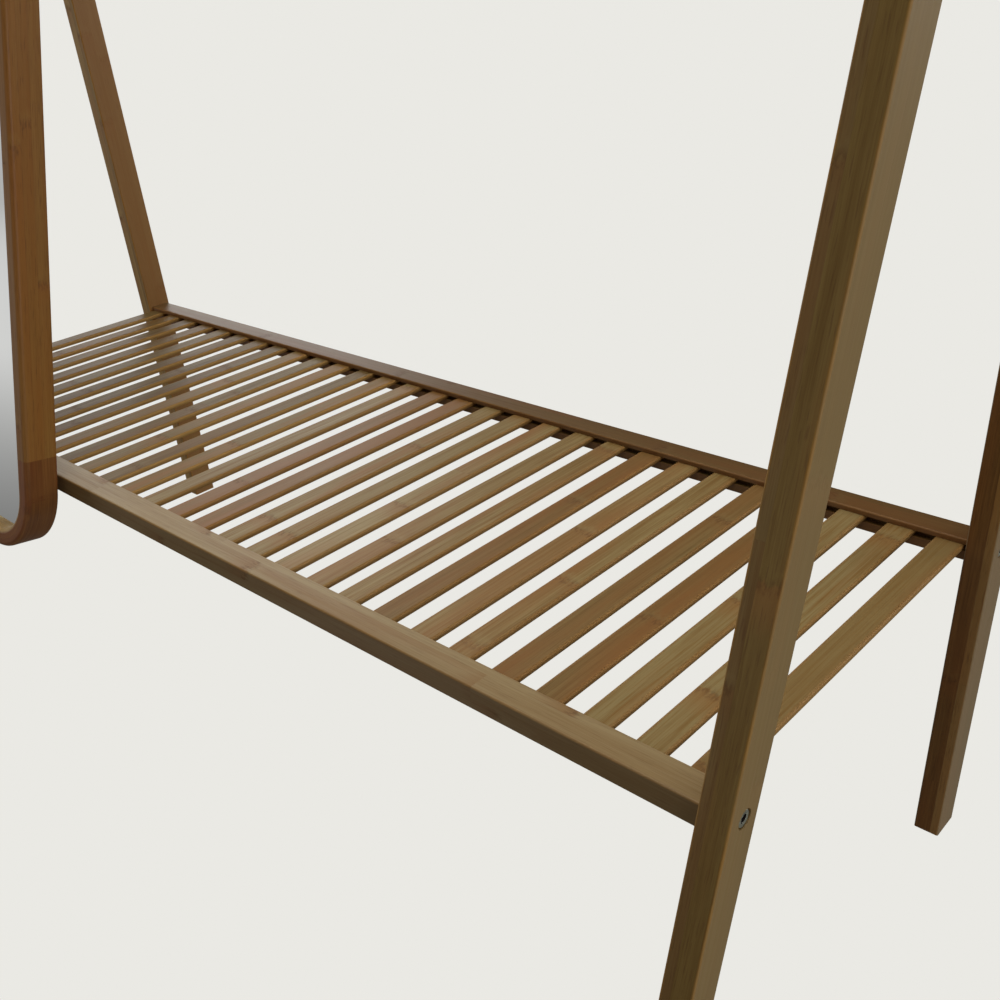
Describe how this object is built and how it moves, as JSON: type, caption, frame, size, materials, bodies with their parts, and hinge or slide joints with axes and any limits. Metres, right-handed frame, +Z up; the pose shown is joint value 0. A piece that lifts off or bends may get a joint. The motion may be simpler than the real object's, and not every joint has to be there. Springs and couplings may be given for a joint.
{
  "type": "clothes rack",
  "caption": "Bamboo A-frame clothes rack with a hanging rail, a slatted shelf and a tall round-cornered mirror hinged on one front leg.",
  "frame": {"origin": "on the floor, under the middle of the rack's length and depth", "axes": "+Z up, +X along the rails to the right as seen from the front, -Y towards the front, where the mirror is"},
  "size_m": [1.038, 0.5002, 1.65],
  "materials": {
    "bamboo_leg": "satin lacquer",
    "bamboo_rail": "satin lacquer",
    "bamboo_slat": "satin lacquer",
    "bamboo_mirror_frame": "satin lacquer",
    "dowel_wood": "raw",
    "mirror_glass": "silvered glass",
    "backboard": "hardboard",
    "zinc_steel": "zinc plated",
    "brass_insert": "turned",
    "rubber_pad": "matt"
  },
  "bodies": {
    "rack": {"leg_front_left": "bamboo_leg", "leg_front_right": "bamboo_leg", "leg_rear_left": "bamboo_leg", "leg_rear_right": "bamboo_leg", "hanging_rail": "bamboo_rail", "shelf_rail_front": "bamboo_rail", "shelf_rail_rear": "bamboo_rail", "slat_01": "bamboo_slat", "slat_02": "bamboo_slat", "slat_03": "bamboo_slat", "slat_04": "bamboo_slat", "slat_05": "bamboo_slat", "slat_06": "bamboo_slat", "slat_07": "bamboo_slat", "slat_08": "bamboo_slat", "slat_09": "bamboo_slat", "slat_10": "bamboo_slat", "slat_11": "bamboo_slat", "slat_12": "bamboo_slat", "slat_13": "bamboo_slat", "slat_14": "bamboo_slat", "slat_15": "bamboo_slat", "slat_16": "bamboo_slat", "slat_17": "bamboo_slat", "slat_18": "bamboo_slat", "slat_19": "bamboo_slat", "slat_20": "bamboo_slat", "slat_21": "bamboo_slat", "slat_22": "bamboo_slat", "slat_23": "bamboo_slat", "slat_24": "bamboo_slat", "slat_25": "bamboo_slat", "slat_26": "bamboo_slat", "slat_27": "bamboo_slat", "slat_28": "bamboo_slat", "slat_29": "bamboo_slat", "rail_dowels": "dowel_wood", "mirror_bumpers": "rubber_pad", "apex_inserts": "brass_insert", "shelf_bolts": "zinc_steel", "barrel_nuts": "zinc_steel", "apex_bolts": "zinc_steel", "hinge_leaves_leg": "zinc_steel", "hinge_pins": "zinc_steel", "hinge_screws_leg": "zinc_steel"},
    "mirror": {"mirror_stile_left": "bamboo_mirror_frame", "mirror_stile_right": "bamboo_mirror_frame", "mirror_rail_top": "bamboo_mirror_frame", "mirror_rail_bottom": "bamboo_mirror_frame", "mirror_corner_top_left": "bamboo_mirror_frame", "mirror_corner_top_right": "bamboo_mirror_frame", "mirror_corner_bottom_left": "bamboo_mirror_frame", "mirror_corner_bottom_right": "bamboo_mirror_frame", "mirror_glass": "mirror_glass", "mirror_backboard": "backboard", "glazing_points": "zinc_steel", "hinge_leaves_mirror": "zinc_steel", "hinge_screws_mirror": "zinc_steel"}
  },
  "joints": [
    {"name": "mirror_swing", "type": "hinge", "parent": "rack", "child": "mirror", "pos_m": [-0.516, -0.15114, 0.7], "axis": [0, -0.1418, -0.9899], "range_deg": [0, 170]}
  ]
}
